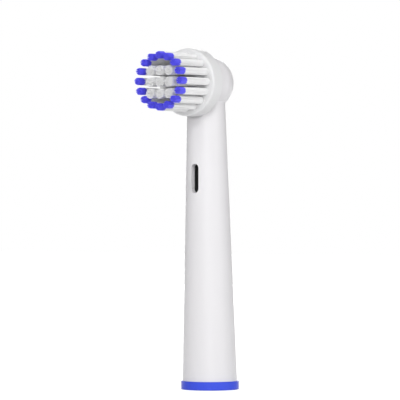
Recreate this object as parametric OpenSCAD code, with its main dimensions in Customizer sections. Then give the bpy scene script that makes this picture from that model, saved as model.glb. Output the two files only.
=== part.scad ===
// Head of an electric toothbrush with a round brush that swings to and fro.
// Millimetres. +Z runs up the neck, the bristles point along -Y, and the origin
// is the centre of the foot, on the axis of the handle's shaft.

/* [Neck] */
// Height of the brush disc's axis above the foot
head_z = 71.45; // [68:0.05:78]
// Outside diameter of the neck, carried down to the foot
neck_foot_d = 12.8; // [12.2:0.1:13.4]
// Outside diameter of the neck, carried up to the disc's axis
neck_top_d = 8.6; // [8.2:0.1:9.6]
// Thickness of the neck's wall
neck_wall = 1.25; // [0.8:0.05:1.4]
// Angle by which the neck leans towards the bristles
neck_lean = 1.3; // [0:0.1:2]
// Width of the slot in the neck's front
slot_w = 2.0; // [1:0.1:3]
// Length of that slot over its round ends
slot_l = 6.8; // [4:0.1:12]
// Height of the slot's centre
slot_z = 49.2; // [20:0.1:54]

/* [Head housing] */
// Diameter of the dome behind the disc
dome_d = 12.4; // [11.8:0.1:13]
// Distance from the drive axis forward to the dome's centre
dome_y = 1.1; // [0.7:0.1:1.5]
// Outside diameter of the housing's round mouth
mouth_d = 11.6; // [10.8:0.1:12]
// Distance from the drive axis forward to the mouth
mouth_y = 5.4; // [5.1:0.1:6]
// Depth of the round pocket that holds the disc's hub
pocket_depth = 5.3; // [5:0.1:5.6]
// How far the neck's bore runs up past the lowest point of that pocket
bore_overrun = 0.6; // [0.4:0.1:1]
// Rounding of the mouth's rim
mouth_round = 0.3; // [0.1:0.05:0.5]

/* [Foot] */
// How far the coloured ring stands out from the neck
ring_proud = 0.4; // [0.2:0.05:1.2]
// Height of the coloured ring
ring_h = 2.0; // [1.4:0.1:3]
// Rounding of the ring's outer edges
ring_round = 0.15; // [0.05:0.05:0.4]
// Height of the inner lip by which the ring is clamped
ring_lip_h = 0.9; // [0.5:0.1:1]
// Width of that lip, which stands in from the ring's bore
ring_lip_w = 0.45; // [0.3:0.05:0.6]
// Diameter of the socket for the handle's nose
socket_d = 7.2; // [6.6:0.1:7.6]
// Depth of the socket for the handle's nose
socket_depth = 6.0; // [4:0.1:8]
// Width of the key notch in that socket
key_w = 1.6; // [1:0.1:2.4]
// Depth of the key notch
key_depth = 0.7; // [0.3:0.1:0.8]
// Thickness of the web in the insert that bears the drive
insert_web = 2.8; // [2:0.1:4]
// Height of the snap bead on the insert's plug above the foot
bead_z = 6.2; // [4:0.1:7]
// How far the snap bead stands out
bead_h = 0.25; // [0.1:0.05:0.4]

/* [Drive] */
// Diameter of the coupler's journal in the insert
journal_d = 5.2; // [4.8:0.1:6]
// Diameter of the coupler's flange
flange_d = 6.6; // [6.2:0.1:7.6]
// Thickness of the coupler's flange
flange_t = 1.2; // [0.8:0.1:2]
// Diameter of the socket for the handle's shaft
shaft_socket_d = 3.2; // [2.8:0.1:3.4]
// Distance from the axis to the flat of that socket
shaft_socket_flat = 1.1; // [0.9:0.05:1.3]
// Depth of the socket for the handle's shaft
shaft_socket_depth = 14; // [10:0.5:18]
// Width of the lead-in at that socket's mouth
lead_in = 0.4; // [0.2:0.05:0.6]
// Diameter of the steel drive shaft
shaft_d = 2.0; // [1.6:0.1:2.2]
// Length of the drive shaft that is held in the coupler
shaft_grip = 24; // [15:0.5:30]
// Thickness of the web that guides the drive shaft in the neck
guide_web = 2.0; // [1.4:0.1:3]
// Diameter of the ball on the crank's pin
ball_d = 1.7; // [1.5:0.05:1.8]
// Diameter of the crank's pin below the ball
crank_pin_d = 1.0; // [0.8:0.05:1.05]
// Distance from the top of the crank's arm to the ball's centre
crank_pin_l = 2.6; // [2.3:0.1:3.2]
// Thickness of the crank's arm
arm_t = 1.8; // [1.2:0.1:2.4]
// Diameter of the arm's end round the pin
arm_end_d = 2.0; // [1.7:0.1:2.4]
// Height of the crank's boss on the shaft
boss_h = 3.0; // [2.4:0.1:4]
// Distance of the ball's centre below the disc's axis
ball_drop = 2.8; // [2.7:0.05:3]
// Swing of the disc to each side, in degrees
disc_swing = 22.5; // [15:0.5:25]
// Swing of the drive shaft to each side, in degrees
drive_swing = 30; // [26:0.5:34]

/* [Brush disc] */
// Diameter of the disc
disc_d = 15.7; // [15.2:0.1:18]
// Thickness of the disc
disc_t = 3.7; // [3:0.1:4.2]
// Rounding of the disc's front edge
disc_round = 0.5; // [0.1:0.05:1]
// Rounding of the disc's back edge
disc_back_round = 0.25; // [0.1:0.05:0.5]
// Diameter of the hub behind the disc
hub_d = 7.8; // [7.2:0.1:7.9]
// Diameter of the disc's steel axle
axle_d = 2.0; // [1.6:0.1:2.2]
// Length of the axle in the hub
axle_in_hub = 5.0; // [4:0.1:5.4]
// Length of the axle in the dome
axle_in_dome = 4.2; // [3.4:0.1:4.6]
// Diameter of the pin that locks the axle in the dome
lock_pin_d = 1.0; // [0.8:0.05:1.2]
// Distance of the lock pin behind the pocket's floor
lock_pin_y = 1.5; // [1.2:0.1:2.2]
// Depth of the groove in the axle for the lock pin
axle_groove = 0.4; // [0.2:0.05:0.5]

/* [Bristles] */
// Number of tufts in the outer circle
outer_count = 16; // [12:1:16]
// Diameter of the circle through the outer tufts
outer_circle_d = 12.0; // [11.8:0.1:13]
// Diameter of an outer tuft
outer_tuft_d = 1.7; // [1.5:0.05:1.85]
// Number of inner tufts along each side of their square
inner_side = 3; // [2:1:3]
// Distance between neighbouring inner tufts
inner_pitch = 2.62; // [2.5:0.01:2.8]
// Diameter of an inner tuft
inner_tuft_d = 2.1; // [1.7:0.05:2.15]
// Free length of the outer tufts
bristle_l = 10.9; // [8:0.1:13]
// How much shorter the inner tufts are
inner_drop = 0.4; // [0:0.1:2]
// Depth of the tuft holes
root_depth = 2.2; // [1.8:0.1:2.4]
// Height of the metal anchor at the root of each tuft
anchor_h = 1.3; // [0.9:0.1:1.6]
// Thickness of an anchor
anchor_t = 0.3; // [0.2:0.02:0.4]
// How far an anchor reaches past its tuft on each side
anchor_bite = 0.15; // [0.05:0.01:0.18]
// Gap between neighbouring filaments of a tuft
filament_gap = 0.025; // [0.015:0.005:0.04]

/* [Clearances] */
// Radial clearance of a turning shaft or journal
run_gap = 0.05; // [0.02:0.01:0.08]
// Radial clearance of a pressed or moulded-in fit
press_gap = 0.01; // [0.01:0.005:0.02]
// Clearance between the ball and each side of its slot
ball_gap = 0.12; // [0.08:0.01:0.2]
// Gap between the hub and its pocket
hub_gap = 0.25; // [0.15:0.05:0.4]
// End play of the turning parts
end_play = 0.3; // [0.1:0.05:0.4]
// Gap between the disc's back and the housing's mouth
disc_gap = 0.4; // [0.3:0.05:0.8]
// Gap between the insert's plug and the neck
plug_gap = 0.05; // [0.02:0.01:0.1]
// Least gap between the drive's moving parts and the neck's bore
drive_gap = 0.25; // [0.15:0.05:0.4]

/* [Hidden] */
$fn = 96;
// Overlap of solids that are joined, and reach of cuts past a face
lap = 0.05;
past = 1;

plastic_white = [0.96, 0.95, 0.97];
plastic_dark = [0.12, 0.12, 0.13];
plastic_blue = [0.27, 0.32, 0.88];
bristle_blue = [0.30, 0.29, 0.94];
steel = [0.72, 0.73, 0.75];
brass = [0.80, 0.66, 0.35];

// Neck at a height: outside radius, bore radius, its axis, and the room behind the drive axis
neck_foot_r = neck_foot_d / 2;
neck_slope = (neck_foot_d - neck_top_d) / 2 / head_z;
function neck_r(z) = neck_foot_r - neck_slope * z;
function bore_r(z) = neck_r(z) - neck_wall;
function neck_axis_y(z) = -z * tan(neck_lean);
function room_behind(z) = bore_r(z) + neck_axis_y(z);

// Along the disc's axis, forward of the drive axis
pocket_floor = mouth_y - pocket_depth;
hub_back = pocket_floor + end_play;
disc_back = mouth_y + disc_gap;
disc_face = disc_back + disc_t;
axle_front = hub_back + axle_in_hub;
axle_back = pocket_floor - axle_in_dome;
groove_y = pocket_floor - lock_pin_y;
outer_tip = disc_face + bristle_l;

// Head
hub_r = hub_d / 2;
pocket_r = hub_r + hub_gap;
axle_r = axle_d / 2;
lock_r = lock_pin_d / 2;
lock_tip = axle_r - axle_groove + run_gap;
groove_half = lock_r + 2 * run_gap;
dome_r = dome_d / 2;

// Drive, from the crank down to the coupler
shaft_r = shaft_d / 2;
ball_r = ball_d / 2;
ball_z = head_z - ball_drop;
crank_r = ball_drop * sin(disc_swing) / cos(disc_swing) / sin(drive_swing);
arm_top = ball_z - crank_pin_l;
boss_r = room_behind(arm_top) - drive_gap;
guide_top = arm_top - boss_h - 4 * end_play;
guide_bottom = guide_top - guide_web;
stem_top = guide_bottom - end_play;
stem_top_r = room_behind(stem_top) - 1.6 * drive_gap;
shaft_bottom = stem_top - shaft_grip;
insert_top = socket_depth + insert_web;
coupler_bottom = socket_depth + end_play;
flange_bottom = insert_top + end_play;
flange_top = flange_bottom + flange_t;
journal_r = journal_d / 2;

// Hub slot for the ball
slot_half = ball_r + ball_gap;
hub_slot_top = ball_drop - ball_r - 1.6 * ball_gap;
hub_slot_front = crank_r + ball_r + end_play;

// Foot
ring_r = neck_r(ring_h) + ring_proud;
lip_r = bore_r(ring_h) + ring_lip_w - plug_gap;
flange_foot_r = lip_r + ring_lip_w;

// Brush
outer_step = 360 / outer_count;
inner_middle = (inner_side - 1) / 2;
inner_count = inner_side * inner_side;

function numbered(stem, i) = str(stem, i < 9 ? "0" : "", i + 1);
function outer_name(i) = numbered("tuft_outer_", i);
function inner_name(i) = numbered("tuft_inner_", i);
function outer_place(i) = outer_circle_d / 2 * [sin(i * outer_step), cos(i * outer_step)];
function inner_place(i) = inner_pitch * [
    i % inner_side - inner_middle,
    inner_middle - floor(i / inner_side)
];

// Places
module in_neck_axis() rotate([neck_lean, 0, 0]) children();

// On the disc's axis: local Z runs forward to the bristles and local Y up
module on_disc_axis() translate([0, 0, head_z]) rotate([90, 0, 0]) children();

module at_tuft(place) translate([place[0], place[1], 0]) children();

// A level slice of all that lies between two heights
module slice(z0, z1) translate([0, 0, z0]) cylinder(r = neck_foot_d, h = z1 - z0);

// The neck's tapered bore with a chosen gap to its wall
module bore_cone(gap, z0, z1) in_neck_axis()
    translate([0, 0, z0]) cylinder(r1 = bore_r(z0) - gap, r2 = bore_r(z1) - gap, h = z1 - z0);

// Section of the snap bead and of the groove that takes it
module bead_section(gap) translate([bore_r(bead_z) - plug_gap, bead_z]) polygon([
    [-plug_gap - lap, -2 * bead_h - gap],
    [0, -2 * bead_h - gap],
    [bead_h + gap, 0],
    [0, 2 * bead_h + gap],
    [-plug_gap - lap, 2 * bead_h + gap]
]);

// A bar with half-round ends, standing along Y
module round_ended(w, l) {
    square([w, l - w], center = true);
    for (end = [-1, 1]) translate([0, end * (l - w) / 2]) circle(d = w);
}

// A section of a turned disc from the axis out, with rounded rims
module rimmed_section(r, h, round_low, round_high) difference() {
    square([r, h]);
    translate([r - round_high, h - round_high]) difference() {
        square(round_high + past);
        circle(round_high);
    }
    translate([r - round_low, round_low]) difference() {
        translate([0, -round_low - past]) square(round_low + past);
        circle(round_low);
    }
}

// Housing: dome and barrel turned about the disc's axis, on the neck
module housing_section() {
    intersection() {
        circle(dome_r);
        translate([0, -2 * dome_r]) square(2 * dome_r);
    }
    polygon([
        [0, -dome_r / 2],
        [dome_r / 2, -dome_r / 2],
        [dome_r, 0],
        [mouth_d / 2, mouth_y - dome_y - mouth_round],
        [mouth_d / 2 - mouth_round, mouth_y - dome_y],
        [0, mouth_y - dome_y]
    ]);
}

module head_housing() on_disc_axis()
    translate([0, 0, dome_y]) rotate_extrude() housing_section();

module neck_outside() {
    in_neck_axis() cylinder(r1 = neck_r(0), r2 = neck_r(head_z), h = head_z);
    head_housing();
}

module neck_bore() {
    difference() {
        bore_cone(0, -past, head_z - pocket_r + bore_overrun);
        slice(guide_bottom, guide_top);
    }
    in_neck_axis() rotate_extrude() bead_section(plug_gap);
}

module neck_tube() color(plastic_white) difference() {
    neck_outside();
    slice(-past, ring_h);
    neck_bore();
    // Pocket for the hub and blind bearing for the axle
    on_disc_axis() {
        translate([0, 0, pocket_floor]) cylinder(r = pocket_r, h = pocket_depth + past);
        translate([0, 0, axle_back - lap * 2]) cylinder(r = axle_r + run_gap, h = axle_in_dome + past);
    }
    // Flat on the neck's front, clear of the disc
    on_disc_axis() translate([0, 0, mouth_y + disc_gap / 2]) cylinder(r = disc_d / 2 + disc_gap, h = neck_foot_d);
    // Hole for the lock pin, from the top of the dome into the bearing
    translate([0, -groove_y, head_z]) cylinder(r = lock_r + press_gap, h = dome_r + past);
    // Guide for the drive shaft
    translate([0, 0, guide_bottom - past]) cylinder(r = shaft_r + run_gap, h = guide_web + 2 * past);
    // Slot in the front
    translate([0, 0, slot_z]) rotate([90, 0, 0]) linear_extrude(neck_foot_d) round_ended(slot_w, slot_l);
}

module ring_section() difference() {
    rimmed_section(ring_r, ring_h, ring_round, ring_round);
    translate([-past, -past]) square([past + flange_foot_r + plug_gap, past + ring_lip_h]);
    translate([-past, -past]) square([past + lip_r + plug_gap, 2 * past + ring_h]);
}

module colour_ring() color(plastic_blue) rotate_extrude() ring_section();

module key_notch() translate([-key_w / 2, socket_d / 2 - past, -past])
    cube([key_w, past + key_depth, past + socket_depth]);

module base_insert() color(plastic_white) difference() {
    union() {
        cylinder(r = flange_foot_r, h = ring_lip_h - plug_gap);
        cylinder(r = lip_r, h = ring_h - plug_gap);
        intersection() {
            union() {
                bore_cone(plug_gap, 0, insert_top + past);
                in_neck_axis() rotate_extrude() bead_section(0);
            }
            slice(lap, insert_top);
        }
    }
    // Socket for the handle's nose, with a key notch
    translate([0, 0, -past]) cylinder(d = socket_d, h = past + socket_depth);
    key_notch();
    // Bearing for the coupler
    cylinder(r = journal_r + run_gap, h = insert_top + past);
}

// Its outer end is trimmed just under the dome's skin
module lock_pin() color(plastic_white) intersection() {
    translate([0, -groove_y, head_z + lock_tip]) cylinder(r = lock_r, h = dome_r);
    translate([0, -dome_y, head_z]) sphere(dome_r - press_gap);
}

module shaft_socket_outline() difference() {
    circle(d = shaft_socket_d);
    translate([-shaft_socket_d, shaft_socket_flat]) square(2 * shaft_socket_d);
}

module drive_coupler() color(plastic_dark) difference() {
    union() {
        translate([0, 0, coupler_bottom]) cylinder(r = journal_r, h = flange_bottom + lap - coupler_bottom);
        translate([0, 0, flange_bottom]) cylinder(d = flange_d, h = flange_t);
        translate([0, 0, flange_top - lap])
            cylinder(r1 = journal_r, r2 = stem_top_r, h = stem_top - flange_top + lap);
    }
    // D-shaped socket with a lead-in for the handle's shaft
    translate([0, 0, coupler_bottom - past])
        linear_extrude(shaft_socket_depth + past) shaft_socket_outline();
    translate([0, 0, coupler_bottom - lap])
        cylinder(d1 = shaft_socket_d + 2 * lead_in, d2 = shaft_socket_d - lead_in, h = 1.5 * lead_in);
    // Seat of the drive shaft
    translate([0, 0, shaft_bottom - lap]) cylinder(r = shaft_r + press_gap, h = shaft_grip + past);
}

module drive_shaft() color(steel) translate([0, 0, shaft_bottom])
    cylinder(r = shaft_r, h = arm_top - shaft_bottom);

module crank_arm_outline() {
    circle(boss_r);
    translate([0, -crank_r]) circle(d = arm_end_d);
    polygon([
        [-boss_r * 0.95, 0],
        [boss_r * 0.95, 0],
        [arm_end_d * 0.475, -crank_r],
        [-arm_end_d * 0.475, -crank_r]
    ]);
}

module crank() color(steel) difference() {
    union() {
        translate([0, 0, arm_top - arm_t]) linear_extrude(arm_t) crank_arm_outline();
        translate([0, 0, arm_top - boss_h]) cylinder(r = boss_r, h = boss_h - lap);
        translate([0, -crank_r, arm_top - lap]) cylinder(d = crank_pin_d, h = crank_pin_l);
        translate([0, -crank_r, ball_z]) sphere(ball_r);
    }
    translate([0, 0, arm_top - boss_h - past]) cylinder(r = shaft_r + press_gap, h = boss_h + 2 * past);
}

// One filament with a tapered tip, from just below the disc's face
module filament(r, length) rotate_extrude($fn = 16) polygon([
    [0, -lap],
    [r, -lap],
    [r, length - r / 2],
    [0.6 * r, length],
    [0, length]
]);

module anchor_plate(d, gap) translate([0, 0, anchor_h / 2])
    cube([d + 2 * (anchor_bite + gap), anchor_t + 2 * gap, anchor_h + 2 * gap], center = true);

// One tuft on the disc's axis frame: a doubled bundle round its anchor, and its free filaments
module tuft(d, length, tone) {
    pitch = d / 5;
    r = (pitch - filament_gap) / 2;
    translate([0, 0, disc_face]) {
        color(plastic_white) difference() {
            translate([0, 0, -root_depth + press_gap]) cylinder(d = d, h = root_depth - press_gap);
            translate([0, 0, -root_depth]) anchor_plate(d, press_gap);
        }
        for (i = [-2:2], j = [-2:2]) if (abs(i + j) <= 2)
            translate(pitch * [i + j * cos(60), j * sin(60), 0]) color(tone) filament(r, length);
    }
}

module tuft_outer(i) on_disc_axis() at_tuft(outer_place(i))
    rotate(-i * outer_step) tuft(outer_tuft_d, bristle_l, bristle_blue);

module tuft_inner(i) on_disc_axis() at_tuft(inner_place(i))
    tuft(inner_tuft_d, bristle_l - inner_drop, plastic_white);

module tuft_hole(d) translate([0, 0, disc_face - root_depth]) {
    cylinder(r = d / 2 + press_gap, h = root_depth + past);
    anchor_plate(d, press_gap);
}

module bristle_disc() color(plastic_white) on_disc_axis() difference() {
    union() {
        translate([0, 0, disc_back])
            rotate_extrude() rimmed_section(disc_d / 2, disc_t, disc_back_round, disc_round);
        translate([0, 0, hub_back]) cylinder(r = hub_r, h = disc_back - hub_back + lap);
    }
    for (i = [0:outer_count - 1]) at_tuft(outer_place(i)) rotate(-i * outer_step) tuft_hole(outer_tuft_d);
    for (i = [0:inner_count - 1]) at_tuft(inner_place(i)) tuft_hole(inner_tuft_d);
    // Seat of the axle
    translate([0, 0, hub_back - past]) cylinder(r = axle_r + press_gap, h = axle_in_hub + past + lap);
    // Slot for the crank's ball, open at the back and below
    translate([-slot_half, -hub_r - past, hub_back - past])
        cube([2 * slot_half, hub_r + past - hub_slot_top, past + hub_slot_front - hub_back]);
}

module disc_axle() color(steel) on_disc_axis() difference() {
    translate([0, 0, axle_back]) cylinder(r = axle_r, h = axle_front - axle_back);
    translate([0, 0, groove_y - groove_half]) difference() {
        cylinder(r = axle_r + past, h = 2 * groove_half);
        translate([0, 0, -past]) cylinder(r = axle_r - axle_groove, h = 2 * (groove_half + past));
    }
}

module tuft_anchors() color(brass) on_disc_axis() translate([0, 0, disc_face - root_depth]) {
    for (i = [0:outer_count - 1]) at_tuft(outer_place(i)) rotate(-i * outer_step) anchor_plate(outer_tuft_d, 0);
    for (i = [0:inner_count - 1]) at_tuft(inner_place(i)) anchor_plate(inner_tuft_d, 0);
}

neck_tube();
base_insert();
colour_ring();
lock_pin();
drive_coupler();
drive_shaft();
crank();
bristle_disc();
disc_axle();
tuft_anchors();
for (i = [0:outer_count - 1]) tuft_outer(i);
for (i = [0:inner_count - 1]) tuft_inner(i);
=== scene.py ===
"""Looks of an electric toothbrush head, dressed round its CAD frame.

Metres. The foot stands on z = 0, the neck runs up +Z and the bristles point along -Y.
"""

import math

import bpy
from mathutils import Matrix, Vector


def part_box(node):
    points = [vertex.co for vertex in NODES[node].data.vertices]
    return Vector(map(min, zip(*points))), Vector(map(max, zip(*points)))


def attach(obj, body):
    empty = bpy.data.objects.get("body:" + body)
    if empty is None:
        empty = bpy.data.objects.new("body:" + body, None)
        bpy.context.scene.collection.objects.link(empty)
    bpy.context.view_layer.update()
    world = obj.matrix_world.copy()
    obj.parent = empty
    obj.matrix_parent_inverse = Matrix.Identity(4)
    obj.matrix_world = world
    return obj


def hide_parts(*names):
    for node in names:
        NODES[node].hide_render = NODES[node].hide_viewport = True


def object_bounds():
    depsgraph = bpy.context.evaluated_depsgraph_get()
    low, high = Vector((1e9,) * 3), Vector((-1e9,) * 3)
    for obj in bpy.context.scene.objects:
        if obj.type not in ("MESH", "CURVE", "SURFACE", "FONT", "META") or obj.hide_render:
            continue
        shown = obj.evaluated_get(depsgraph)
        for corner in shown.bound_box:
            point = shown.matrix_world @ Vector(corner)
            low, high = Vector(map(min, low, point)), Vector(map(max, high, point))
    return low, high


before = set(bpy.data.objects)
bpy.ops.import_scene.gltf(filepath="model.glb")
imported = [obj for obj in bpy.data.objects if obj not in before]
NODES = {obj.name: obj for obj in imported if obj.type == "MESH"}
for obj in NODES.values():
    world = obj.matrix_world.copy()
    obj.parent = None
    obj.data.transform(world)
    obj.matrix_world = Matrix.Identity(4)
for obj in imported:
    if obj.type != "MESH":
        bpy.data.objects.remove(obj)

MM = 0.001
CAD_LOW, CAD_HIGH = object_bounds()
SCENE = bpy.context.scene
SCENE.view_settings.view_transform = "Standard"

# Camera: where the photograph was taken from
CAMERA_AZIMUTH = math.radians(36.0)
CAMERA_DISTANCE = 740 * MM
PICTURE_WIDTH = 93.5 * MM
PICTURE_HEIGHT_ABOVE_FOOT = 44.2 * MM
PICTURE_LEFT_OF_AXIS = 2.34 * MM
SENSOR_WIDTH = 36.0
CLIP_START = 10 * MM

# Floor: how much it glows at the foot, how far the dimmer patch reaches, its share of lamp light,
# and how far it lies below the foot, so that the two faces don't meet
FLOOR_HALF_WIDTH = 1500 * MM
FLOOR_GREY = 0.9
FLOOR_ROUGHNESS = 0.9
FOOT_GLOW = 0.88
SHADOW_REACH = 150 * MM
LIT_SHARE = 0.3
FLOOR_DROP = 0.02 * MM

# Light from all round
WORLD_STRENGTH = 0.2

# Soft boxes: azimuth and elevation in degrees, power in watts, and width. The key is narrower,
# so that the disc's shadow on the neck keeps an edge.
LAMP_DISTANCE = 900 * MM
LAMP_WIDTH = 450 * MM
KEY_WIDTH = 120 * MM
LAMPS = {
    "key": (52, 37, 1.75, KEY_WIDTH),
    "front high": (33, 28, 1.2, LAMP_WIDTH),
    "front": (36, 8, 1.3, LAMP_WIDTH),
    "left": (-24, 28, 2.1, LAMP_WIDTH),
    "right front": (66, 8, 0.8, LAMP_WIDTH),
    "right": (96, 8, 1.35, LAMP_WIDTH),
    "back high": (156, 55, 0.75, LAMP_WIDTH),
    "back": (216, 10, 2.6, LAMP_WIDTH),
}

# Neck: its lean and bore, for the shade painted inside it, which ends below the head
NECK_LEAN = math.radians(1.3)
NECK_FOOT_BORE = 5.15 * MM
NECK_BORE_TAPER = 2.1 / 71.45
BORE_EDGE = 0.03 * MM
BORE_TOP = 60 * MM
# Painted shade: the bore's wall is white plastic, coloured dark here instead
BORE_PAINTED_SHADE = (0.2, 0.2, 0.205)

# Depth of the grain on moulded plastic
GRAIN_HEIGHT = 0.01 * MM

# Filaments: depth of the root in the disc, points along and sides round one, how strongly the
# points crowd towards the tip, where along it the tip begins, how much that narrows, the lean in
# radians, and what is added to the seed so that lengths are drawn apart from leans
FILAMENT_RADIUS = 0.098 * MM
FILAMENT_ROOT = 1.2 * MM
FILAMENT_POINTS = 7
FILAMENT_SIDES = 6
FILAMENT_CROWDING = 3.0
FILAMENT_ROUGHNESS = 0.38
TIP_START = 0.99
TIP_TAPER = 0.25
LEAN = 0.005
LENGTH_DRAW = 7.0

# Tufts: rings of filaments round the middle one, seed of the random draws, and the bend at the tip
OUTER_RINGS, OUTER_SEED = 4, 11
INNER_RINGS, INNER_SEED = 5, 23
OUTER_BEND = {"Splay": -0.02, "Draw In": 0.011, "Sag": 0.0, "Length Scatter": 0.008}
INNER_BEND = {"Splay": 0.09, "Draw In": -0.02, "Sag": 0.33 * MM, "Length Scatter": 0.02}

# Dye at the outer tufts' ends: how long, how uneven its edge is and how fast it fades in
DYED_LENGTH = 2.3 * MM
DYE_UNEVEN = 0.7 * MM
DYE_FADE = 0.25 * MM


def box_centre(name):
    """Middle of a CAD node's box at rest."""
    low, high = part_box(name)
    return (low + high) / 2


# Materials

def new_group(name, inputs, outputs):
    """A shader node group with named sockets, each given as (name, kind, value)."""
    group = bpy.data.node_groups.new(name, "ShaderNodeTree")
    for label, kind, value in inputs:
        socket = group.interface.new_socket(label, in_out="INPUT", socket_type=kind)
        socket.default_value = value
    for label, kind in outputs:
        group.interface.new_socket(label, in_out="OUTPUT", socket_type=kind)
    return group


def node(tree, kind, **settings):
    """A new node with its properties set."""
    made = tree.nodes.new(kind)
    for name, value in settings.items():
        setattr(made, name, value)
    return made


def feed(tree, socket, value):
    """Links an output to a socket, or sets the socket to a number, vector or colour."""
    if isinstance(value, bpy.types.NodeSocket):
        tree.links.new(value, socket)
    elif socket.type == "RGBA":
        socket.default_value = (*value, 1.0)
    else:
        socket.default_value = value


def noise(tree, coordinates, scale, detail=2.0):
    """A noise texture on the given coordinates."""
    made = node(tree, "ShaderNodeTexNoise")
    feed(tree, made.inputs["Vector"], coordinates)
    feed(tree, made.inputs["Scale"], scale)
    feed(tree, made.inputs["Detail"], detail)
    return made.outputs["Fac"]


def math_node(tree, operation, a, b=None, clamp=False):
    """A math node on sockets or numbers."""
    made = node(tree, "ShaderNodeMath", operation=operation, use_clamp=clamp)
    feed(tree, made.inputs[0], a)
    if b is not None:
        feed(tree, made.inputs[1], b)
    return made.outputs[0]


def vector_node(tree, operation, a, b):
    """A vector math node on sockets or vectors. With SCALE, b is a number."""
    made = node(tree, "ShaderNodeVectorMath", operation=operation)
    feed(tree, made.inputs[0], a)
    feed(tree, made.inputs["Scale"] if operation == "SCALE" else made.inputs[1], b)
    return made.outputs[0]


def xyz(tree, x=0.0, y=0.0, z=0.0):
    """A vector made of sockets or numbers."""
    made = node(tree, "ShaderNodeCombineXYZ")
    for socket, value in zip(made.inputs, (x, y, z)):
        feed(tree, socket, value)
    return made.outputs[0]


def apart(tree, vector):
    """The x, y and z of a vector."""
    made = node(tree, "ShaderNodeSeparateXYZ")
    feed(tree, made.inputs[0], vector)
    return made.outputs


def mix_colour(tree, share, first, second):
    """A colour mix of two sockets or colours."""
    made = node(tree, "ShaderNodeMix", data_type="RGBA")
    factor, colour_a, colour_b = made.inputs[0], made.inputs[6], made.inputs[7]
    feed(tree, factor, share)
    feed(tree, colour_a, first)
    feed(tree, colour_b, second)
    return made.outputs[2]


def own_place(tree):
    """The point's own coordinates on the object."""
    return node(tree, "ShaderNodeTexCoord").outputs["Object"]


def moulded_skin():
    """Skin of an injection moulding: faint cloudiness in the colour and gloss, and a fine grain."""
    group = new_group(
        "moulded_skin",
        [
            ("Colour", "NodeSocketColor", (0.8, 0.8, 0.8, 1)),
            ("Cloud Colour", "NodeSocketColor", (0.75, 0.75, 0.75, 1)),
            ("Cloud Scale", "NodeSocketFloat", 150.0),
            ("Grain Scale", "NodeSocketFloat", 4000.0),
            ("Grain Depth", "NodeSocketFloat", 0.2),
            ("Roughness", "NodeSocketFloat", 0.35),
            ("Roughness Spread", "NodeSocketFloat", 0.08),
        ],
        [("Colour", "NodeSocketColor"), ("Roughness", "NodeSocketFloat"), ("Normal", "NodeSocketVector")],
    )
    given = group.nodes.new("NodeGroupInput").outputs
    result = group.nodes.new("NodeGroupOutput").inputs
    place = own_place(group)
    cloud = noise(group, place, given["Cloud Scale"])
    grain = noise(group, place, given["Grain Scale"], detail=3.0)
    group.links.new(mix_colour(group, cloud, given["Colour"], given["Cloud Colour"]), result["Colour"])
    spread = math_node(group, "MULTIPLY", math_node(group, "SUBTRACT", cloud, 0.5), given["Roughness Spread"])
    group.links.new(math_node(group, "ADD", given["Roughness"], spread), result["Roughness"])
    bump = node(group, "ShaderNodeBump")
    bump.inputs["Distance"].default_value = GRAIN_HEIGHT
    group.links.new(given["Grain Depth"], bump.inputs["Strength"])
    group.links.new(grain, bump.inputs["Height"])
    group.links.new(bump.outputs["Normal"], result["Normal"])
    return group


MOULDED_SKIN = moulded_skin()


def new_material(name):
    """An empty node material and its Principled BSDF."""
    material = bpy.data.materials.new(name)
    material.use_nodes = True
    return material, material.node_tree.nodes["Principled BSDF"]


def dressed_in_skin(material, shader, colour, cloud, **values):
    """Puts the moulded skin on a material and returns its group node."""
    tree = material.node_tree
    skin = node(tree, "ShaderNodeGroup", node_tree=MOULDED_SKIN)
    skin.inputs["Colour"].default_value = (*colour, 1.0)
    skin.inputs["Cloud Colour"].default_value = (*cloud, 1.0)
    for label, value in values.items():
        skin.inputs[label.replace("_", " ")].default_value = value
    tree.links.new(skin.outputs["Colour"], shader.inputs["Base Color"])
    tree.links.new(skin.outputs["Roughness"], shader.inputs["Roughness"])
    tree.links.new(skin.outputs["Normal"], shader.inputs["Normal"])
    return skin


def moulding(name, colour, cloud, shine=0.5, **values):
    """Plain moulded plastic."""
    material, shader = new_material(name)
    dressed_in_skin(material, shader, colour, cloud, **values)
    shader.inputs["Specular IOR Level"].default_value = shine
    return material


def painted_bore_shade_mask(tree):
    """Mask of the painted shade: 1 inside the neck's tapered bore, below the head, and 0 on its outside."""
    x, y, z = apart(tree, own_place(tree))
    off_axis = math_node(tree, "ADD", y, math_node(tree, "MULTIPLY", z, math.tan(NECK_LEAN)))
    x_squared = math_node(tree, "MULTIPLY", x, x)
    y_squared = math_node(tree, "MULTIPLY", off_axis, off_axis)
    radius = math_node(tree, "SQRT", math_node(tree, "ADD", x_squared, y_squared))
    narrowing = math_node(tree, "MULTIPLY", z, NECK_BORE_TAPER)
    bore = math_node(tree, "SUBTRACT", NECK_FOOT_BORE + BORE_EDGE, narrowing)
    within = math_node(tree, "DIVIDE", math_node(tree, "SUBTRACT", bore, radius), BORE_EDGE, clamp=True)
    return math_node(tree, "MULTIPLY", within, math_node(tree, "LESS_THAN", z, BORE_TOP))


def housing_plastic():
    """White housing: satin outside, with shade painted dark in the bore that shows through the slot."""
    material, shader = new_material("housing_white")
    skin = dressed_in_skin(
        material, shader, (0.785, 0.772, 0.79), (0.765, 0.755, 0.77),
        Cloud_Scale=60.0, Grain_Scale=5000.0, Grain_Depth=0.15, Roughness=0.33, Roughness_Spread=0.06,
    )
    tree = material.node_tree
    # Painted shade: the white bore is coloured dark below the head
    shade = mix_colour(tree, painted_bore_shade_mask(tree), skin.outputs["Colour"], BORE_PAINTED_SHADE)
    tree.links.new(shade, shader.inputs["Base Color"])
    return material


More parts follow.
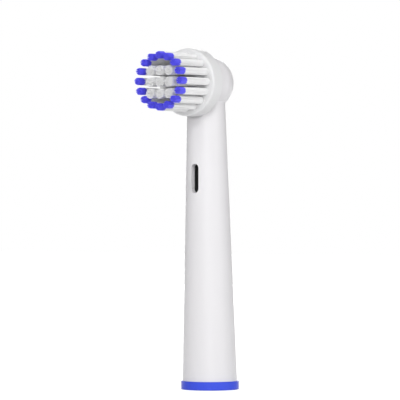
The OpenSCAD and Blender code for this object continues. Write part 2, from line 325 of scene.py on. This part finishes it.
def steel():
    """Ground steel pins and shafts, with fine scratches."""
    material, shader = new_material("pin_steel")
    tree = material.node_tree
    fine = noise(tree, own_place(tree), scale=3000.0, detail=4.0)
    colour = mix_colour(tree, fine, (0.50, 0.50, 0.51), (0.66, 0.66, 0.68))
    feed(tree, shader.inputs["Base Color"], colour)
    roughness = math_node(tree, "ADD", math_node(tree, "MULTIPLY", fine, 0.15), 0.2)
    feed(tree, shader.inputs["Roughness"], roughness)
    shader.inputs["Metallic"].default_value = 1.0
    return material


def brass():
    """Stamped brass anchors."""
    material, shader = new_material("anchor_brass")
    tree = material.node_tree
    fine = noise(tree, own_place(tree), scale=2500.0, detail=4.0)
    colour = mix_colour(tree, fine, (0.60, 0.42, 0.16), (0.78, 0.60, 0.28))
    feed(tree, shader.inputs["Base Color"], colour)
    shader.inputs["Metallic"].default_value = 1.0
    shader.inputs["Roughness"].default_value = 0.35
    return material


def nylon(name, dyed_from=None):
    """Nylon filaments, clear white, with dyed ends beyond a distance along -Y."""
    material, shader = new_material(name)
    tree = material.node_tree
    place = own_place(tree)
    cloud = noise(tree, place, scale=2500.0)
    colour = mix_colour(tree, cloud, (0.975, 0.975, 0.98), (0.995, 0.995, 0.995))
    if dyed_from is not None:
        uneven = math_node(tree, "MULTIPLY", math_node(tree, "SUBTRACT", cloud, 0.5), DYE_UNEVEN)
        y = apart(tree, place)[1]
        past_line = math_node(tree, "SUBTRACT", dyed_from, math_node(tree, "ADD", y, uneven))
        dyed = math_node(tree, "DIVIDE", past_line, DYE_FADE, clamp=True)
        dye = mix_colour(tree, cloud, (0.11, 0.10, 0.985), (0.15, 0.14, 1.0))
        colour = mix_colour(tree, dyed, colour, dye)
    feed(tree, shader.inputs["Base Color"], colour)
    shader.inputs["Roughness"].default_value = FILAMENT_ROUGHNESS
    return material


WHITE_HOUSING = housing_plastic()
WHITE_DISC = moulding(
    "disc_white", (0.80, 0.80, 0.805), (0.775, 0.775, 0.785), shine=0.3,
    Cloud_Scale=120.0, Grain_Scale=5000.0, Grain_Depth=0.12, Roughness=0.36, Roughness_Spread=0.06,
)
WHITE_INSERT = moulding(
    "insert_white", (0.80, 0.80, 0.81), (0.76, 0.76, 0.77),
    Cloud_Scale=150.0, Grain_Scale=5000.0, Grain_Depth=0.2, Roughness=0.5, Roughness_Spread=0.1,
)
BLUE_RING = moulding(
    "ring_blue", (0.04, 0.075, 0.66), (0.055, 0.10, 0.76), shine=0.2,
    Cloud_Scale=180.0, Grain_Scale=6000.0, Grain_Depth=0.12, Roughness=0.32, Roughness_Spread=0.1,
)
BLACK_COUPLER = moulding(
    "coupler_black", (0.018, 0.018, 0.019), (0.03, 0.03, 0.032),
    Cloud_Scale=200.0, Grain_Scale=4500.0, Grain_Depth=0.25, Roughness=0.45, Roughness_Spread=0.1,
)
STEEL = steel()
BRASS = brass()

FINISHES = {
    "neck_tube": WHITE_HOUSING,
    "base_insert": WHITE_INSERT,
    "colour_ring": BLUE_RING,
    "lock_pin": WHITE_HOUSING,
    "drive_coupler": BLACK_COUPLER,
    "drive_shaft": STEEL,
    "crank": STEEL,
    "bristle_disc": WHITE_DISC,
    "disc_axle": STEEL,
    "tuft_anchors": BRASS,
}
for name, finish in FINISHES.items():
    NODES[name].data.materials.clear()
    NODES[name].data.materials.append(finish)


# Bristles

OUT_FROM_MIDDLE = "out_from_middle"
DISC_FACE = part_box("bristle_disc")[0].y
DISC_HEIGHT = box_centre("bristle_disc").z


def filament_places(tree, given, ring_count):
    """Places of the filaments of every tuft, in rings round a middle one."""
    rings = node(tree, "GeometryNodeJoinGeometry")
    middle = node(tree, "GeometryNodeMeshLine")
    middle.inputs["Count"].default_value = 1
    feed(tree, rings.inputs[0], middle.outputs[0])
    for k in range(1, ring_count + 1):
        ring = node(tree, "GeometryNodeMeshCircle", fill_type="NONE")
        ring.inputs["Vertices"].default_value = 6 * k
        feed(tree, ring.inputs["Radius"], math_node(tree, "MULTIPLY", given["Filament Pitch"], k))
        feed(tree, rings.inputs[0], ring.outputs[0])
    upright = node(tree, "GeometryNodeTransform")
    upright.inputs["Rotation"].default_value = (math.pi / 2, 0, 0)
    feed(tree, upright.inputs["Geometry"], rings.outputs[0])
    marked = node(tree, "GeometryNodeStoreNamedAttribute", data_type="FLOAT_VECTOR")
    marked.inputs["Name"].default_value = OUT_FROM_MIDDLE
    feed(tree, marked.inputs["Geometry"], upright.outputs[0])
    feed(tree, marked.inputs["Value"], node(tree, "GeometryNodeInputPosition").outputs[0])
    tufts = node(tree, "GeometryNodeInstanceOnPoints")
    feed(tree, tufts.inputs["Points"], given["Roots"])
    feed(tree, tufts.inputs["Instance"], marked.outputs[0])
    places = node(tree, "GeometryNodeRealizeInstances")
    feed(tree, places.inputs[0], tufts.outputs[0])
    return places.outputs[0]


def one_filament(tree, given):
    """One filament along -Y, its points crowded towards a rounded tip."""
    line = node(tree, "GeometryNodeCurvePrimitiveLine")
    line.inputs["End"].default_value = (0, -1, 0)
    steps = node(tree, "GeometryNodeResampleCurve")
    steps.inputs["Count"].default_value = FILAMENT_POINTS
    feed(tree, steps.inputs["Curve"], line.outputs[0])
    along = node(tree, "GeometryNodeSplineParameter").outputs["Factor"]
    left = math_node(tree, "POWER", math_node(tree, "SUBTRACT", 1.0, along), FILAMENT_CROWDING)
    reach = math_node(tree, "MULTIPLY", math_node(tree, "SUBTRACT", left, 1.0), given["Filament Length"])
    stretched = node(tree, "GeometryNodeSetPosition")
    feed(tree, stretched.inputs["Geometry"], steps.outputs[0])
    feed(tree, stretched.inputs["Position"], xyz(tree, y=reach))
    at_tip = math_node(tree, "GREATER_THAN", along, TIP_START)
    narrowed = math_node(tree, "SUBTRACT", 1.0, math_node(tree, "MULTIPLY", at_tip, TIP_TAPER))
    rounded = node(tree, "GeometryNodeSetCurveRadius")
    feed(tree, rounded.inputs["Curve"], stretched.outputs[0])
    feed(tree, rounded.inputs["Radius"], narrowed)
    section = node(tree, "GeometryNodeCurvePrimitiveCircle")
    section.inputs["Resolution"].default_value = FILAMENT_SIDES
    feed(tree, section.inputs["Radius"], given["Filament Radius"])
    filament = node(tree, "GeometryNodeCurveToMesh")
    filament.inputs["Fill Caps"].default_value = True
    feed(tree, filament.inputs["Curve"], rounded.outputs[0])
    feed(tree, filament.inputs["Profile Curve"], section.outputs[0])
    feed(tree, filament.inputs["Scale"], node(tree, "GeometryNodeInputRadius").outputs[0])
    return filament.outputs[0]


def planted(tree, given, places, filament):
    """A filament at every place, each leaning and ending a little differently."""
    back = math_node(tree, "MULTIPLY", given["Lean"], -1.0)
    lean = node(tree, "FunctionNodeRandomValue", data_type="FLOAT_VECTOR")
    feed(tree, lean.inputs["Min"], xyz(tree, x=back, z=back))
    feed(tree, lean.inputs["Max"], xyz(tree, x=given["Lean"], z=given["Lean"]))
    feed(tree, lean.inputs["Seed"], given["Seed"])
    length = node(tree, "FunctionNodeRandomValue", data_type="FLOAT")
    shortest, longest = length.inputs[2], length.inputs[3]
    feed(tree, shortest, math_node(tree, "SUBTRACT", 1.0, given["Length Scatter"]))
    feed(tree, longest, 1.0)
    feed(tree, length.inputs["Seed"], math_node(tree, "ADD", given["Seed"], LENGTH_DRAW))
    grown = node(tree, "GeometryNodeInstanceOnPoints")
    feed(tree, grown.inputs["Points"], places)
    feed(tree, grown.inputs["Instance"], filament)
    feed(tree, grown.inputs["Rotation"], lean.outputs[0])
    feed(tree, grown.inputs["Scale"], xyz(tree, 1.0, length.outputs[1], 1.0))
    solid = node(tree, "GeometryNodeRealizeInstances")
    feed(tree, solid.inputs[0], grown.outputs[0])
    return solid.outputs[0]


def bent_at_tips(tree, given, bristles):
    """Towards its tip a tuft opens or closes, draws in to the disc's axis, and sags."""
    out = node(tree, "GeometryNodeInputNamedAttribute", data_type="FLOAT_VECTOR")
    out.inputs["Name"].default_value = OUT_FROM_MIDDLE
    place = node(tree, "GeometryNodeInputPosition").outputs[0]
    above_disc = math_node(tree, "SUBTRACT", DISC_FACE, apart(tree, place)[1])
    share = math_node(tree, "DIVIDE", above_disc, given["Filament Length"], clamp=True)
    bend = math_node(tree, "MULTIPLY", share, share)
    push = vector_node(tree, "SCALE", out.outputs[0], math_node(tree, "MULTIPLY", bend, given["Splay"]))
    from_axis = vector_node(tree, "SUBTRACT", place, (0, 0, DISC_HEIGHT))
    to_axis = vector_node(tree, "MULTIPLY", from_axis, (-1, 0, -1))
    pull = vector_node(tree, "SCALE", to_axis, math_node(tree, "MULTIPLY", bend, given["Draw In"]))
    fall = math_node(tree, "MULTIPLY", math_node(tree, "MULTIPLY", bend, given["Sag"]), -1.0)
    across = vector_node(tree, "ADD", push, pull)
    shaped = node(tree, "GeometryNodeSetPosition")
    feed(tree, shaped.inputs["Geometry"], bristles)
    feed(tree, shaped.inputs["Offset"], vector_node(tree, "ADD", across, xyz(tree, z=fall)))
    return shaped.outputs[0]


def tuft_tree(name, ring_count):
    """Geometry nodes that grow a round tuft of filaments along -Y from each point."""
    tree = bpy.data.node_groups.new(name, "GeometryNodeTree")
    tree.interface.new_socket("Roots", in_out="INPUT", socket_type="NodeSocketGeometry")
    for label in ("Filament Pitch", "Filament Radius", "Filament Length", *OUTER_BEND, "Lean"):
        tree.interface.new_socket(label, in_out="INPUT", socket_type="NodeSocketFloat")
    tree.interface.new_socket("Seed", in_out="INPUT", socket_type="NodeSocketInt")
    tree.interface.new_socket("Finish", in_out="INPUT", socket_type="NodeSocketMaterial")
    tree.interface.new_socket("Tufts", in_out="OUTPUT", socket_type="NodeSocketGeometry")
    given = tree.nodes.new("NodeGroupInput").outputs
    result = tree.nodes.new("NodeGroupOutput").inputs
    places = filament_places(tree, given, ring_count)
    bristles = planted(tree, given, places, one_filament(tree, given))
    smooth = node(tree, "GeometryNodeSetShadeSmooth")
    feed(tree, smooth.inputs["Geometry"], bent_at_tips(tree, given, bristles))
    finish = node(tree, "GeometryNodeSetMaterial")
    feed(tree, finish.inputs["Geometry"], smooth.outputs[0])
    feed(tree, finish.inputs["Material"], given["Finish"])
    feed(tree, result[0], finish.outputs[0])
    return tree


def grow_tufts(name, nodes, material, ring_count, bend, seed):
    """Filaments in place of the plain CAD tufts, as one mesh."""
    tree = tuft_tree(name + "_filaments", ring_count)
    low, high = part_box(nodes[0])
    mesh = bpy.data.meshes.new(name + "_roots")
    roots = [Vector((box_centre(n).x, DISC_FACE + FILAMENT_ROOT, box_centre(n).z)) for n in nodes]
    mesh.from_pydata(roots, [], [])
    seedling = bpy.data.objects.new(name + "_roots", mesh)
    SCENE.collection.objects.link(seedling)
    modifier = seedling.modifiers.new("tufts", "NODES")
    modifier.node_group = tree
    values = {
        "Filament Pitch": ((high.x - low.x) / 2 - FILAMENT_RADIUS) / ring_count,
        "Filament Radius": FILAMENT_RADIUS,
        "Filament Length": DISC_FACE + FILAMENT_ROOT - low.y,
        "Lean": LEAN,
        "Seed": seed,
        "Finish": material,
        **bend,
    }
    for item in tree.interface.items_tree:
        if item.name in values:
            modifier[item.identifier] = values[item.name]
    graph = bpy.context.evaluated_depsgraph_get()
    grown = bpy.data.meshes.new_from_object(seedling.evaluated_get(graph))
    grown.name = name
    bpy.data.objects.remove(seedling)
    bpy.data.meshes.remove(mesh)
    piece = bpy.data.objects.new(name, grown)
    SCENE.collection.objects.link(piece)
    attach(piece, "disc")
    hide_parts(*nodes)


OUTER_TUFTS = sorted(n for n in NODES if n.startswith("tuft_outer"))
INNER_TUFTS = sorted(n for n in NODES if n.startswith("tuft_inner"))
BRISTLE_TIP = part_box(OUTER_TUFTS[0])[0].y
DYED_NYLON = nylon("bristle_dyed", BRISTLE_TIP + DYED_LENGTH)
WHITE_NYLON = nylon("bristle_white")
grow_tufts(
    "outer_bristles", OUTER_TUFTS, DYED_NYLON, OUTER_RINGS, OUTER_BEND, OUTER_SEED
)
grow_tufts(
    "inner_bristles", INNER_TUFTS, WHITE_NYLON, INNER_RINGS, INNER_BEND, INNER_SEED
)


# Floor, light and camera

def floor_white():
    """White floor that glows for the camera, so that it shows as white and keeps a faint shadow."""
    material, shader = new_material("floor_white")
    tree = material.node_tree
    shader.inputs["Roughness"].default_value = FLOOR_ROUGHNESS
    shader.inputs["Emission Color"].default_value = (1, 1, 1, 1)
    rays = node(tree, "ShaderNodeLightPath").outputs
    seen = math_node(tree, "MAXIMUM", rays["Is Camera Ray"], rays["Is Glossy Ray"])
    away = node(tree, "ShaderNodeVectorMath", operation="LENGTH")
    feed(tree, away.inputs[0], own_place(tree))
    far = math_node(tree, "DIVIDE", away.outputs["Value"], SHADOW_REACH, clamp=True)
    glow = math_node(tree, "ADD", math_node(tree, "MULTIPLY", far, 1.0 - FOOT_GLOW), FOOT_GLOW)
    feed(tree, shader.inputs["Emission Strength"], math_node(tree, "MULTIPLY", seen, glow))
    lit = mix_colour(tree, seen, (FLOOR_GREY,) * 3, (FLOOR_GREY * LIT_SHARE,) * 3)
    feed(tree, shader.inputs["Base Color"], lit)
    return material


def studio_floor():
    """Plain white floor under the foot."""
    half = FLOOR_HALF_WIDTH
    low = CAD_LOW.z - FLOOR_DROP
    mesh = bpy.data.meshes.new("floor")
    corners = [(-half, -half, low), (half, -half, low), (half, half, low), (-half, half, low)]
    mesh.from_pydata(corners, [], [(0, 1, 2, 3)])
    mesh.materials.append(floor_white())
    floor = bpy.data.objects.new("floor", mesh)
    SCENE.collection.objects.link(floor)


def studio_world(strength):
    """Even white light from all round, on a background that shows as white."""
    world = bpy.data.worlds.new("studio")
    world.use_nodes = True
    tree = world.node_tree
    background = tree.nodes["Background"]
    background.inputs["Color"].default_value = (1, 1, 1, 1)
    rays = node(tree, "ShaderNodeLightPath").outputs
    seen = math_node(tree, "MAXIMUM", rays["Is Camera Ray"], rays["Is Transmission Ray"])
    extra = math_node(tree, "MULTIPLY", seen, 1.0 - strength)
    feed(tree, background.inputs["Strength"], math_node(tree, "ADD", extra, strength))
    SCENE.world = world


def soft_box(name, azimuth, elevation, power, width):
    """A square lamp aimed at the middle of the head's height, unseen by the camera."""
    aim = Vector((0, 0, PICTURE_HEIGHT_ABOVE_FOOT))
    a, e = math.radians(azimuth), math.radians(elevation)
    towards = Vector((math.sin(a) * math.cos(e), -math.cos(a) * math.cos(e), math.sin(e)))
    lamp = bpy.data.lights.new(name, "AREA")
    lamp.size = width
    lamp.energy = power
    stand = bpy.data.objects.new(name, lamp)
    stand.location = aim + towards * LAMP_DISTANCE
    stand.rotation_euler = (-towards).to_track_quat("-Z", "Y").to_euler()
    stand.visible_camera = False
    SCENE.collection.objects.link(stand)


def photographer():
    """The camera, level, with the photograph's frame round the head."""
    sideways = Vector((math.cos(CAMERA_AZIMUTH), math.sin(CAMERA_AZIMUTH), 0))
    towards = Vector((math.sin(CAMERA_AZIMUTH), -math.cos(CAMERA_AZIMUTH), 0))
    aim = Vector((0, 0, PICTURE_HEIGHT_ABOVE_FOOT)) - sideways * PICTURE_LEFT_OF_AXIS
    data = bpy.data.cameras.new("camera")
    data.sensor_width = SENSOR_WIDTH
    data.lens = SENSOR_WIDTH * CAMERA_DISTANCE / PICTURE_WIDTH
    data.clip_start = CLIP_START
    camera = bpy.data.objects.new("camera", data)
    camera.location = aim + towards * CAMERA_DISTANCE
    camera.rotation_euler = (-towards).to_track_quat("-Z", "Y").to_euler()
    SCENE.collection.objects.link(camera)
    SCENE.camera = camera


studio_floor()
studio_world(WORLD_STRENGTH)
for lamp_name, lamp_place in LAMPS.items():
    soft_box(lamp_name, *lamp_place)
photographer()
